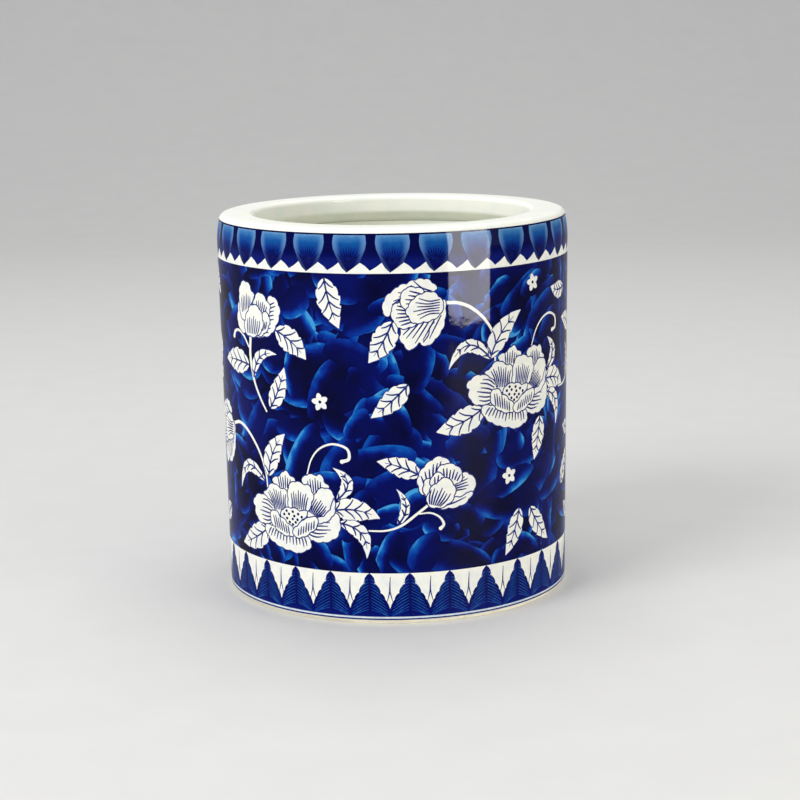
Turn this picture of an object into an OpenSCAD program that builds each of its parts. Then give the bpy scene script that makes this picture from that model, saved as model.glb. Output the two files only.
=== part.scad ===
// Porcelain brush pot: an upright cylinder with a thick lip turned in over its mouth,
// three printed bands round the outside and a glazed inside. Nothing on it moves.
// All sizes are in millimetres. The origin is the middle of the plane it stands on, +Z is up.

/* [Body] */
// Height from the standing plane to the top of the lip
pot_h = 119; // [105:1:140]
// Outer diameter at the shoulder, where the pot is widest
pot_d = 110; // [100:1:125]
// How much smaller the outer diameter is at the foot
draft = 2; // [1:0.5:4]
// Diameter of the hollow in the clay wall
bore_d = 99; // [94:0.5:99]
// Thickness of the bottom disc
floor_t = 6; // [4:0.5:8]

/* [Lip] */
// Diameter of the mouth
mouth_d = 87; // [78:1:90]
// Height of the lip's upright inner face, edges included
lip_face_h = 6; // [5:0.5:7]
// Height of the lip piece, from the shoulder to the top
lip_h = 9; // [8.5:0.5:12]
// Radius of the gentle inward curve of the shoulder
shoulder_curve_r = 35; // [30:1:60]
// Rounding of the lip's outer edge
lip_outer_round = 1.8; // [1:0.1:2.2]
// Rounding of the lip's two inner edges
lip_inner_round = 1.5; // [1:0.1:2]

/* [Foot] */
// Height of the foot ring, which is also the depth of the recess under the pot
foot_h = 4; // [3:0.5:6]
// Width of the ring, from its inner face to the bevel's lower edge
foot_w = 6.5; // [4:0.5:9]
// Height and width of the bevels beside the standing edge
foot_bevel = 1.5; // [1:0.1:2]

/* [Printed bands] */
// Thickness of a print with the clear glaze over it
print_t = 0.25; // [0.2:0.05:0.4]
// Height of the lower border's top edge above the standing plane
lower_border_top = 16; // [12:1:20]
// Height of the upper border's bottom edge above the standing plane
upper_border_bottom = 106; // [90:1:106]

/* [Inside glaze] */
// Thickness of the glaze on the inside wall and the floor
liner_t = 0.3; // [0.2:0.05:0.5]
// Radius of the hollow corner between the inside wall and the floor
corner_r = 4; // [2:0.5:8]

/* [Hidden] */
$fn = 96;

clay = [0.93, 0.91, 0.86];
glazed_white = [0.94, 0.94, 0.91];
inside_white = [0.88, 0.89, 0.83];
cobalt = [0.03, 0.08, 0.38];
border_blue = [0.08, 0.22, 0.55];

bore_r = bore_d / 2;
mouth_r = mouth_d / 2;
floor_bottom = foot_h;
floor_top = floor_bottom + floor_t;
shoulder_z = pot_h - lip_h;

// Middle of the shoulder curve, which leaves the wall at the shoulder
shoulder_x = pot_d / 2 - shoulder_curve_r;
// Middle of the lip's outer rounding, which touches the shoulder curve and the flat top
outer_round_z = pot_h - lip_outer_round;
outer_round_reach = shoulder_curve_r - lip_outer_round;
outer_round_x = shoulder_x + sqrt(pow(outer_round_reach, 2) - pow(outer_round_z - shoulder_z, 2));
// Height at which the shoulder curve passes into the rounding, where the printing ends
print_top = shoulder_z
    + (outer_round_z - shoulder_z) * shoulder_curve_r / outer_round_reach;

// Middles of the lip's inner roundings
inner_round_x = mouth_r + lip_inner_round;
inner_round_top = pot_h - lip_inner_round;
inner_round_low = pot_h - lip_face_h + lip_inner_round;
// Point where the slope from the hollow touches the lower inner rounding
slope_run = inner_round_x - bore_r;
slope_rise = inner_round_low - shoulder_z;
slope_far = sqrt(pow(slope_run, 2) + pow(slope_rise, 2));
slope_angle = atan2(slope_rise, slope_run) + asin(lip_inner_round / slope_far);
slope_len = sqrt(pow(slope_far, 2) - pow(lip_inner_round, 2));
touch_x = bore_r + slope_len * cos(slope_angle);
touch_z = shoulder_z + slope_len * sin(slope_angle);

// Outer radius of the drafted wall at height z
function wall_r(z) = pot_d / 2 - draft / 2 * (shoulder_z - z) / (shoulder_z - foot_bevel);
// Radius of the clay under a print at height z
function clay_r(z) = wall_r(z) - print_t;

// Section of a printed band on the drafted wall, between two heights
module band_section(bottom, top) {
    polygon([
        [clay_r(bottom), bottom],
        [wall_r(bottom), bottom],
        [wall_r(top), top],
        [clay_r(top), top],
    ]);
}

// Section of the print on the shoulder curve
module shoulder_print_section() {
    intersection() {
        translate([shoulder_x, shoulder_z])
            difference() {
                circle(r = shoulder_curve_r);
                circle(r = shoulder_curve_r - print_t);
            }
        translate([bore_r, shoulder_z])
            square([pot_d, print_top - shoulder_z]);
    }
}

// Outer shape of the lip from its inner roundings outwards, as a half section
module lip_outer_section() {
    intersection() {
        translate([shoulder_x, shoulder_z])
            circle(r = shoulder_curve_r);
        translate([inner_round_x, shoulder_z])
            square([pot_d, print_top - shoulder_z]);
    }
    translate([outer_round_x, outer_round_z])
        circle(r = lip_outer_round);
    translate([inner_round_x, shoulder_z])
        square([outer_round_x - inner_round_x, lip_h]);
}

// Upright tube of clay that stands on the bottom disc
module wall() {
    color(clay)
        rotate_extrude()
            polygon([
                [bore_r, floor_top],
                [clay_r(floor_top), floor_top],
                [clay_r(shoulder_z), shoulder_z],
                [bore_r, shoulder_z],
            ]);
}

// Thick lip, overhanging the hollow
module mouth_ring() {
    color(glazed_white)
        rotate_extrude()
            difference() {
                union() {
                    lip_outer_section();
                    translate([mouth_r, inner_round_low])
                        square([lip_inner_round, inner_round_top - inner_round_low]);
                    translate([inner_round_x, inner_round_top])
                        circle(r = lip_inner_round);
                    translate([inner_round_x, inner_round_low])
                        circle(r = lip_inner_round);
                }
                shoulder_print_section();
                polygon([
                    [mouth_r - 1, shoulder_z - 1],
                    [bore_r, shoulder_z - 1],
                    [bore_r, shoulder_z],
                    [touch_x, touch_z],
                    [mouth_r - 1, touch_z],
                ]);
            }
}

// Bottom disc, glazed underneath
module floor_disc() {
    color(glazed_white)
        rotate_extrude()
            polygon([
                [0, floor_bottom],
                [clay_r(floor_bottom), floor_bottom],
                [clay_r(floor_top), floor_top],
                [0, floor_top],
            ]);
}

// Ring under the disc, bevelled inside and outside, with a bare standing edge
module foot_ring() {
    edge_r = wall_r(foot_bevel) - foot_bevel;
    inner_r = edge_r - foot_w;
    color(clay)
        rotate_extrude()
            polygon([
                [inner_r, foot_h],
                [inner_r, foot_bevel],
                [inner_r + foot_bevel, 0],
                [edge_r, 0],
                [wall_r(foot_bevel), foot_bevel],
                [clay_r(foot_bevel), foot_bevel],
                [clay_r(foot_h), foot_h],
            ]);
}

// Coat of glaze on the inside wall and the floor, with a hollow corner between them
module liner_glaze() {
    face_r = bore_r - liner_t;
    color(inside_white)
        rotate_extrude() {
            translate([face_r, floor_top])
                square([liner_t, shoulder_z - floor_top]);
            translate([0, floor_top])
                square([bore_r, liner_t]);
            translate([face_r - corner_r, floor_top + liner_t])
                difference() {
                    square(corner_r);
                    translate([0, corner_r])
                        circle(r = corner_r);
                }
        }
}

// Printed petals over a white zigzag, from the wall up over the shoulder
module upper_border() {
    color(border_blue)
        rotate_extrude() {
            band_section(upper_border_bottom, shoulder_z);
            shoulder_print_section();
        }
}

// Printed flowers on a deep blue ground
module floral_field() {
    color(cobalt)
        rotate_extrude()
            band_section(lower_border_top, upper_border_bottom);
}

// Printed leaves and white teeth above two thin lines
module lower_border() {
    color(border_blue)
        rotate_extrude()
            band_section(foot_bevel, lower_border_top);
}

wall();
mouth_ring();
floor_disc();
foot_ring();
liner_glaze();
upper_border();
floral_field();
lower_border();
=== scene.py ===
"""Looks of the brush holder pot: its glaze, printed borders and flower field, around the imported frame.

The print is drawn flat, on the unrolled wall. x runs along the wall to the right and y is the height, both
in millimetres, and x = 0 faces the camera. The shapes are laid over each other in painter's order, cut into
one set of triangles that share their edges, and rolled onto the wall, so that the colours lie flush in one
surface as they do under a real glaze. Lengths are in millimetres until a mesh is made.
"""

import math

import bpy
import numpy as np
from mathutils import Matrix, Vector
from mathutils.geometry import delaunay_2d_cdt


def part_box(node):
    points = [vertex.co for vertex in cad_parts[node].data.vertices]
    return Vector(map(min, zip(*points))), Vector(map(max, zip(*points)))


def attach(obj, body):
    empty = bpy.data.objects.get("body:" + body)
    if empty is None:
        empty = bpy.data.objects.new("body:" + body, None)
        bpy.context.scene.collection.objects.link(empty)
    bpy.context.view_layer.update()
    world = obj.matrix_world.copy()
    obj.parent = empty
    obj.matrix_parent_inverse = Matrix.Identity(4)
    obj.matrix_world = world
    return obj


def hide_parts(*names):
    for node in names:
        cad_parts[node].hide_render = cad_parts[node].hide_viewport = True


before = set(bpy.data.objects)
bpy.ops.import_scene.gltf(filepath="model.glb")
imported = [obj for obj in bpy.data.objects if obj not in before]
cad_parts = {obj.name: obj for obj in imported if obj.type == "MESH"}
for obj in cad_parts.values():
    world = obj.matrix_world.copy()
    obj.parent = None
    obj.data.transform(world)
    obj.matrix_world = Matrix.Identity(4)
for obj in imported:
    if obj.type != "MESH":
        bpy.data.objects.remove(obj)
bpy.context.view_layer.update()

# ---- sizes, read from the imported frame

MM = 0.001


def extent(node):
    """Lowest height, highest height and largest radius of a CAD node, in millimetres."""
    low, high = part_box(node)
    return low.z / MM, high.z / MM, high.x / MM


FOOT_BOTTOM, FOOT_TOP, _ = extent("foot_ring")
LOWER_BOTTOM, LOWER_TOP, LOWER_R = extent("lower_border")
FIELD_BOTTOM, FIELD_TOP, FIELD_R = extent("floral_field")
UPPER_BOTTOM, UPPER_TOP, POT_R = extent("upper_border")
HOLLOW_BOTTOM, SHOULDER_Z, HOLLOW_R = extent("liner_glaze")
LIP_BOTTOM, LIP_TOP, _ = extent("mouth_ring")
PRINT_THICK = 0.25
SHOULDER_CURVE = 35.0
LINER_THICK = 0.3
MOUTH_R = 43.5
LIP_OUTER_ROUND = 1.8
LIP_INNER_ROUND = 1.5
LIP_FACE = 6.0
HOLLOW_CORNER = 4.0
FOOT_WIDTH = 6.5
FOOT_BEVEL = 1.5

DRAFT = (FIELD_R - LOWER_R) / (FIELD_TOP - LOWER_TOP)
WALL_LENGTH = 2 * math.pi * (LOWER_R + POT_R) / 2
DEG = WALL_LENGTH / 360


def wall_radius(z):
    """Radius of the glazed outside at a height: a slightly drafted wall that turns in over the shoulder."""
    if z <= SHOULDER_Z:
        return FIELD_R + DRAFT * (z - FIELD_TOP)
    return POT_R - SHOULDER_CURVE + math.sqrt(SHOULDER_CURVE**2 - (z - SHOULDER_Z) ** 2)


def wall_slope(z):
    """How fast the wall's radius grows with height."""
    if z <= SHOULDER_Z:
        return DRAFT
    rise = z - SHOULDER_Z
    return -rise / math.sqrt(SHOULDER_CURVE**2 - rise**2)


# ---- flat curves

CURVE_STEP = 0.35


def smooth(points, closed=True, step=CURVE_STEP):
    """A round curve through the points (Catmull-Rom), as closely spaced points."""
    p = np.array(points, float)
    n = len(p)
    spans = n if closed else n - 1
    out = []
    for i in range(spans):
        if closed:
            a, b, c, d = p[i - 1], p[i], p[(i + 1) % n], p[(i + 2) % n]
        else:
            b, c = p[i], p[i + 1]
            a = p[i - 1] if i else 2 * b - c
            d = p[i + 2] if i + 2 < n else 2 * c - b
        steps = max(2, int(math.ceil(np.linalg.norm(c - b) / step)))
        for t in np.arange(steps) / steps:
            square, cube = 2 * a - 5 * b + 4 * c - d, 3 * b - a - 3 * c + d
            out.append(0.5 * (2 * b + (c - a) * t + square * t**2 + cube * t**3))
    if not closed:
        out.append(p[-1])
    return np.array(out)


def side_ways(line, closed=False):
    """Unit vectors to the left of a line of points."""
    if closed:
        along = np.roll(line, -1, 0) - np.roll(line, 1, 0)
    else:
        along = np.gradient(line, axis=0)
    along /= np.maximum(np.linalg.norm(along, axis=1), 1e-9)[:, None]
    return np.stack([-along[:, 1], along[:, 0]], 1)


def grown(outline, by):
    """A closed outline moved outwards by a distance."""
    area = np.sum(outline[:, 0] * np.roll(outline[:, 1], -1) - np.roll(outline[:, 0], -1) * outline[:, 1])
    return outline - side_ways(outline, closed=True) * by * np.sign(area)


def stroke(points, widths, step=0.6):
    """Outline of a brush stroke along a round line, with its width at even stations from start to end."""
    line = smooth(points, closed=False, step=step)
    share = np.linspace(0, 1, len(line))
    half = np.interp(share, np.linspace(0, 1, len(widths)), widths)[:, None] / 2
    side = side_ways(line) * half
    return np.concatenate([line + side, (line - side)[::-1]])


def disc(centre, radius, sides=12):
    """Outline of a round dot."""
    turn = np.arange(sides) / sides * 2 * math.pi
    return np.array(centre) + radius * np.stack([np.cos(turn), np.sin(turn)], 1)


def between(a, b, t):
    """The point a share t of the way from a to b."""
    return np.array(a, float) * (1 - t) + np.array(b, float) * t


# ---- the drawing

WHITE, LINE, DOT = 0, 1, 2


class Dab:
    """One dab of the brush in the cobalt ground: an oval, bright along the top of its own frame."""

    def __init__(self, centre, turn, size, strength, sway):
        self.centre = np.array(centre, float)
        self.turn = turn
        self.size = size
        self.strength = strength
        self.sway = sway
        c, s = math.cos(turn), math.sin(turn)
        self.axes = np.array([[c, s], [-s, c]])

    def moved(self, shift):
        return Dab(self.centre + [shift, 0], self.turn, self.size, self.strength, self.sway)

    def outline(self, sides=26):
        """An oval that swells and narrows unevenly."""
        turn = np.arange(sides) / sides * 2 * math.pi
        round_part = np.stack([np.cos(turn), np.sin(turn)], 1)
        swell = 1 + 0.09 * np.cos(2 * turn + self.sway[0]) + 0.07 * np.cos(3 * turn + self.sway[1])
        return (round_part * swell[:, None] * self.size) @ self.axes + self.centre

    def own_frame(self, points):
        """The points in the dab's own frame, where its edge is at 1, and its strength as a third number."""
        local = (points - self.centre) @ self.axes.T / self.size
        return np.column_stack([local, np.full(len(points), self.strength)])


class Drawing:
    """Flat shapes in painter's order, each with the piece and the ink that it belongs to."""

    def __init__(self):
        self.shapes = []

    def add(self, outline, piece, ink=WHITE, dab=None):
        """Lays a shape over what is there. One that crosses the seam at the back goes in at both ends."""
        outline = np.array(outline, float)
        for shift in (-WALL_LENGTH, 0, WALL_LENGTH):
            xs = outline[:, 0] + shift
            if xs.max() > -WALL_LENGTH / 2 and xs.min() < WALL_LENGTH / 2:
                moved = dab.moved(shift) if dab else None
                self.shapes.append((outline + np.array([shift, 0]), piece, ink, moved))

    def cut(self):
        """Cuts all shapes into triangles. Returns the points and each piece's triangles with their inks."""
        columns = np.linspace(-WALL_LENGTH / 2, WALL_LENGTH / 2, GRID_COLUMNS + 1)
        verts, edges = [], []

        def put(points, closed=True):
            first, count = len(verts), len(points)
            last = count if closed else count - 1
            verts.extend(Vector((float(x), float(y))) for x, y in points)
            edges.extend((first + i, first + (i + 1) % count) for i in range(last))

        for outline, _, _, _ in self.shapes:
            put(outline)
        for x in columns:
            put([(x, LOWER_BOTTOM), (x, UPPER_TOP)], closed=False)
        for y in GRID_HEIGHTS:
            put([(columns[0], y), (columns[-1], y)], closed=False)
        points, _, triangles, _, _, _ = delaunay_2d_cdt(verts, edges, [], 0, CUT_TOLERANCE, False)
        points = np.array([tuple(p) for p in points])
        triangles = np.array([tuple(t) for t in triangles])
        middles = points[triangles].mean(1)
        xs, ys = middles.T
        inside = (np.abs(xs) < WALL_LENGTH / 2) & (ys > LOWER_BOTTOM) & (ys < UPPER_TOP)
        triangles, middles = triangles[inside], middles[inside]
        owners = self.top_shapes(middles)
        pieces = {}
        for corners, middle, owner in zip(triangles.tolist(), middles, owners):
            _, piece, ink, dab = self.shapes[owner]
            if piece == GROUND:
                panel = int((middle[0] / WALL_LENGTH + 0.5) * GROUND_PANELS)
                piece = f"{GROUND}_{panel + 1:02d}"
            pieces.setdefault(piece, []).append((corners, ink, dab))
        return points, pieces

    def top_shapes(self, middles):
        """For each point, the number of the shape that lies on top there."""
        order = np.argsort(middles[:, 0])
        xs = middles[order, 0]
        owners = np.zeros(len(middles), int)
        for number, (outline, _, _, _) in enumerate(self.shapes):
            first, last = np.searchsorted(xs, [outline[:, 0].min(), outline[:, 0].max()])
            near = order[first:last]
            heights = middles[near, 1]
            near = near[(heights > outline[:, 1].min()) & (heights < outline[:, 1].max())]
            owners[near[winding(outline, middles[near]) != 0]] = number
        return owners


def winding(outline, points):
    """How many times a closed outline goes round each point."""
    turns = np.zeros(len(points), int)
    for (x0, y0), (x1, y1) in zip(outline, np.roll(outline, -1, 0)):
        left = (x1 - x0) * (points[:, 1] - y0) - (points[:, 0] - x0) * (y1 - y0)
        turns += (y0 <= points[:, 1]) & (points[:, 1] < y1) & (left > 0)
        turns -= (y1 <= points[:, 1]) & (points[:, 1] < y0) & (left < 0)
    return turns


GROUND = "cobalt_ground"
GROUND_PANELS = 12
GRID_COLUMNS = 240
GRID_ROW = 3.0
GRID_ROW_SHOULDER = 1.0
CUT_TOLERANCE = 1e-5
HAIR = 0.001
GRID_HEIGHTS = [
    *np.arange(LOWER_TOP, FIELD_TOP + 0.1, GRID_ROW),
    *np.arange(FIELD_TOP + 1, UPPER_TOP, GRID_ROW_SHOULDER),
    LOWER_BOTTOM + HAIR,
    UPPER_TOP - HAIR,
]


# ---- motifs, each drawn about its own centre

OUTLINE_W = 0.36
SCALLOP_PITCH = 3.3
SCALLOP_DEPTH = 0.42
VEIN_PAIRS = 4
STAR_TIP_R = 2.75
STAR_NOTCH_R = 1.5


class Pen:
    """Draws a motif's shapes into a drawing, turned, scaled and moved to its place."""

    def __init__(self, drawing, piece, at, turn=0.0, size=1.0):
        self.drawing = drawing
        self.piece = piece
        self.at = np.array(at, float)
        self.size = size
        c, s = math.cos(math.radians(turn)), math.sin(math.radians(turn))
        self.matrix = np.array([[c, s], [-s, c]]) * size

    def place(self, points):
        """The points moved from the motif's own plane to the wall."""
        return np.array(points, float) @ self.matrix + self.at

    def fill(self, points, ink=WHITE):
        """A plain filled outline."""
        self.drawing.add(self.place(points), self.piece, ink)

    def petal(self, points):
        """A round white outline with a gently scalloped edge and a thin blue line about it."""
        outline = smooth(points)
        steps = np.linalg.norm(outline - np.roll(outline, 1, 0), axis=1)
        scallops = np.cumsum(steps) / steps.sum() * round(steps.sum() / SCALLOP_PITCH)
        depth = SCALLOP_DEPTH * (np.abs(np.sin(math.pi * scallops)) ** 0.7 - 0.6)
        outline = grown(outline, depth[:, None])
        self.fill(grown(outline, OUTLINE_W), LINE)
        self.fill(outline)

    def line(self, points, widths):
        """A tapered blue line."""
        self.fill(stroke(points, widths), LINE)

    def veins(self, count, root, tip, bow=0.0, reach=0.62, first=0.0, width=0.54):
        """A fan of veins that start along the root line and end a share of the way to the tip line."""
        for i in range(count):
            share = (i + 0.5) / count
            start, end = between(*root, share), between(*tip, share)
            length = reach * (1 - 0.22 * abs(2 * share - 1)) * (0.92 + 0.08 * math.sin(2.4 * i))
            side = np.array([start[1] - end[1], end[0] - start[0]]) * bow * (share - 0.5)
            middle = between(start, end, length * 0.5) + side * length
            nib = (width * 0.72, width, width * 0.85, 0.28)
            self.line([between(start, end, first), middle, between(start, end, length)], nib)


def peony(pen):
    """An open peony seen from the side, about 34 mm wide."""
    pen.petal([(-8.2, 9.9), (-6.9, 11.3), (-5, 11.9), (-3.9, 13.2), (-2.5, 13.8), (-1.4, 12.8), (0.6, 11.7),
        (0.2, 9.8), (-2, 7.8), (-5, 8.2)])
    pen.veins(6, [(-5.4, 8.4), (-1, 8.6)], [(-7, 14), (0.2, 14)], reach=0.75)
    pen.petal([(3.6, 11), (4.4, 12.9), (6.2, 13.7), (8.3, 13.5), (9.7, 13.9), (10.9, 12.6), (11.3, 11.4),
        (12.5, 10.3), (10, 8.2), (6, 7.6)])
    pen.veins(6, [(5.6, 8), (10.2, 8.6)], [(4.6, 15), (10.4, 15)], reach=0.71)
    pen.petal([(-12.5, 5.5), (-11, 6.4), (-10.1, 7.9), (-8.6, 8.9), (-6.9, 9.0), (-5.2, 8.0), (-3.6, 8.1),
        (-2.4, 6.9), (-1.9, 4), (-2.3, 1.2), (-6, 0.2), (-9.6, 3.2)])
    pen.veins(9, [(-8.4, 1.2), (-2.4, 1.6)], [(-12.4, 9.4), (-2.4, 9.6)], bow=0.2, reach=0.82)
    pen.petal([(8.6, 0.2), (11.4, 1.2), (13.4, 2.7), (15, 2.2), (15.8, 0.4), (15.8, -2.2), (15, -4.4),
        (13.2, -5.8), (10.6, -6.7), (7.6, -6.7), (4.4, -5.6), (5.4, -2.6)])
    pen.veins(6, [(6.4, -0.4), (4.8, -5)], [(17.5, 2.2), (16.5, -6)], bow=-0.25, reach=0.68)
    pen.petal([(6, 0), (5.2, 2.4), (7.2, 5.9), (8, 7.8), (9.4, 9.3), (11.2, 9.9), (13.1, 9.3), (14.1, 7.8),
        (13.5, 6.1), (12.8, 3.4), (9.4, 0.2)])
    pen.veins(8, [(5.6, 2.2), (8.8, 0.6)], [(8.4, 9.6), (14.4, 5.4)], bow=-0.15, reach=0.78)
    pen.petal([(8.2, 0.2), (10.6, 1.2), (12.4, 2.8), (13.6, 5), (14, 6.9), (14.4, 5), (14.2, 3), (13, 1),
        (10.6, -0.6), (8.2, -0.8)])
    pen.petal([(-1.4, 2.2), (-1.9, 6.4), (-1.5, 9.1), (0, 10.6), (2, 10.9), (3.9, 10.4), (5.7, 10.2),
        (6.7, 8.8), (7.2, 7), (6.4, 4.6), (4.6, 1.6), (1.4, 0.8)])
    pen.veins(8, [(-0.8, 2.4), (4.8, 2.6)], [(-1.4, 11.4), (7, 10.6)], bow=0.1, reach=0.73)
    pen.petal([(-14.2, 4.9), (-16, 4.2), (-17.6, 2.8), (-17.9, 1.2), (-17.1, 0.3), (-17, -1.4), (-15.8, -3),
        (-13.9, -4), (-11.6, -4.4), (-9, -4), (-7.8, -1), (-8, 1.8), (-10, 3.8), (-12, 4.7)])
    pen.veins(7, [(-8.4, 2.6), (-9.2, -3.6)], [(-18, 6), (-18, -5.6)], bow=0.3, reach=0.64)
    pen.petal([(-12.2, -4.6), (-8.6, -4.2), (-4, -5), (0, -5.4), (3.6, -5.2), (5.7, -6.6), (6, -8.3),
        (5, -9.6), (3, -10.5), (1.2, -11.2), (-0.6, -10.8), (-3, -10.6), (-5.4, -10.2), (-7.6, -9.5),
        (-9.6, -8.6), (-11.4, -7)])
    pen.veins(13, [(-9.6, -4.2), (4, -5.4)], [(-13.6, -10), (6.8, -12.6)], bow=0.1, reach=0.64, first=0.08)
    pen.petal([(-4.9, -0.9), (-4.5, 1.3), (-2.9, 2.2), (0, 2.5), (2.6, 2), (5, 2.2), (4.6, 0.9),
        (3.2, -0.4), (1.6, -2.2), (-0.2, -3.7), (-2, -2.6), (-3.4, -1.6)])
    for dot in ((-2.7, 1.5), (-0.3, 1.5), (1.7, 1.0), (-3.7, 0.3), (-1.8, 0.6), (0.2, 0.2), (3.0, 0.2),
                (-2.6, -0.8), (-0.4, -0.8), (1.4, -0.8), (-1.6, -1.9), (0.7, -1.7), (-0.4, -2.5)):
        pen.fill(disc(dot, 0.46), DOT)
    pen.petal([(-9.6, -1.4), (-9.1, 0.2), (-8, 0.8), (-6.8, 0.5), (-5.6, -0.7), (-3.6, -1.6), (-2.2, -2.7),
        (-0.6, -3.6), (-0.2, -4.8), (-0.7, -6), (-2.8, -6.2), (-5, -5.8), (-7.4, -4.6), (-9, -3.1)])
    pen.veins(7, [(-7.8, -4.2), (-1.4, -6)], [(-9.6, 2.6), (-2.2, -1.4)], reach=0.75)
    pen.petal([(-0.4, -5.4), (0.3, -3.6), (2, -2.2), (4, -0.4), (5.9, 0.2), (7.3, 0.9), (8.4, 0),
        (8.4, -1.6), (7.4, -3), (5.6, -4.4), (3.6, -5.7), (1.4, -6.2)])
    pen.veins(7, [(1, -6), (7.6, -2.8)], [(1.6, -2.2), (8, 1.2)], reach=0.82)


def cup_bud(pen):
    """A half-open bud with a tall cup, upright over its stem at the foot of the cup."""
    pen.petal([(-6.9, 3.9), (-6.5, 7), (-5.6, 9.9), (-4.2, 11.7), (-3, 11.2), (-1, 3), (-3.6, 0.6),
        (-5.6, 1.8)])
    pen.petal([(-5.2, 12.6), (-4.1, 15.2), (-2.5, 16.3), (-0.3, 16.1), (1.1, 15), (1.5, 13.7), (3, 12.6),
        (1.4, 10.2), (-0.6, 5), (-4.4, 5.4), (-5, 9)])
    pen.veins(6, [(-4.2, 6.6), (1, 9)], [(-4.6, 16), (1.6, 15.6)], reach=0.66)
    pen.petal([(9, 11.4), (9.8, 12.8), (11.4, 12.9), (13, 11.4), (13.8, 9), (13.2, 6.4), (11.8, 3.8),
        (9.8, 1.6), (7, 0.6), (3, 0.4), (5.6, 5), (8.2, 8.6)])
    pen.veins(8, [(5, 1.2), (9.2, 10.6)], [(12.6, 1.4), (15.4, 13.4)], reach=0.68)
    pen.petal([(2.4, 9), (3.2, 11.8), (5.2, 13.6), (7.2, 12.9), (8.6, 11.4), (9.9, 9.8), (9.2, 7.6),
        (6.8, 6), (3.4, 7)])
    pen.veins(6, [(3.4, 8.4), (8.2, 7.8)], [(4, 14.6), (10, 12)], reach=0.62)
    pen.petal([(5.8, 4.4), (6.2, 7), (7.8, 7.9), (9.2, 7), (9.4, 5), (8.2, 2.6), (5.4, 0.6), (4, 1.6)])
    pen.veins(4, [(5.2, 1.6), (8, 3)], [(6, 8.6), (9.8, 7.6)], reach=0.6)
    pen.petal([(-2.6, 2), (-2, 5), (-0.6, 7.4), (1.4, 9.4), (3.6, 9.5), (5.4, 8.4), (6.3, 6.4), (6.5, 4),
        (5.4, 1.8), (3, 0.3), (0.4, 0), (-1.6, 0.6)])
    pen.veins(7, [(-1.4, 0.8), (4.2, 0.8)], [(-1, 9.4), (6.8, 8.4)], bow=-0.15, reach=0.7)


def side_bud(pen):
    """A nodding bud that opens to the left, with its stem at the right."""
    pen.petal([(9.4, 2.9), (10.4, 0.6), (9.6, -4.6), (7.2, -7.9), (4, -10.2), (1.8, -10.1), (0.8, -9.4),
        (-0.9, -10.4), (-2.9, -11.5), (-5, -9.9), (-6.4, -7.7), (-5.8, -5.9), (-5.9, -3.4), (-2, -2),
        (5, 0)])
    pen.veins(6, [(-1, -3), (9.6, -1.4)], [(-9, -9), (2.4, -13)], reach=0.86)
    pen.line([(6.2, -3.4), (4.4, -5.2), (4, -7.2), (2, -9.4)], (0.5, 0.5, 0.4))
    pen.petal([(6.8, 5.8), (4.6, 8.6), (1.6, 9.2), (-1.8, 8.7), (-3.8, 7.9), (-6.2, 7.4), (-8.6, 5.9),
        (-10.6, 4.6), (-12, 2.5), (-12.2, -0.1), (-10.6, -1.4), (-9.2, -0.6), (-8.4, 2), (-3, 4)])
    pen.veins(7, [(-3.4, 3.2), (6, 5.8)], [(-13.4, 0.4), (-3.6, 11)], bow=0.2, reach=0.84)
    pen.petal([(-0.4, -3.6), (-2.6, -4.7), (-6, -5), (-8, -3.7), (-9.2, -1.2), (-8.9, 0.8), (-7.6, 2.2),
        (-5.6, 2.4), (-3.8, 1.4), (-3, -0.6), (-2, -2.4)])
    pen.veins(6, [(-3.4, 1.2), (-1.6, -3.6)], [(-9.8, 2.8), (-8.8, -5.6)], reach=0.82)
    pen.petal([(-1.6, -0.2), (-4.2, 0.4), (-5.8, 2.6), (-5.6, 4.6), (-3.6, 6.6), (0.4, 6.6), (2.6, 5.2),
        (0.6, 2)])
    pen.veins(4, [(-0.4, 1.6), (1.6, 5.4)], [(-6.8, 1.4), (-4.6, 7)], reach=0.8)
    pen.petal([(9.5, 1.8), (7.8, 3.9), (5.6, 5.2), (2.4, 5), (-0.6, 3.8), (-2.6, 2), (-3.9, -0.2),
        (-2.8, -2), (-1.4, -3.5), (1.6, -3.4), (4.6, -3), (7.4, -1.9), (9, -0.2)])
    pen.veins(6, [(8.4, 3.4), (8.0, -1.4)], [(-3.6, 4.6), (-3.6, -4)], bow=-0.2, reach=0.86, width=0.46)


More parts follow.
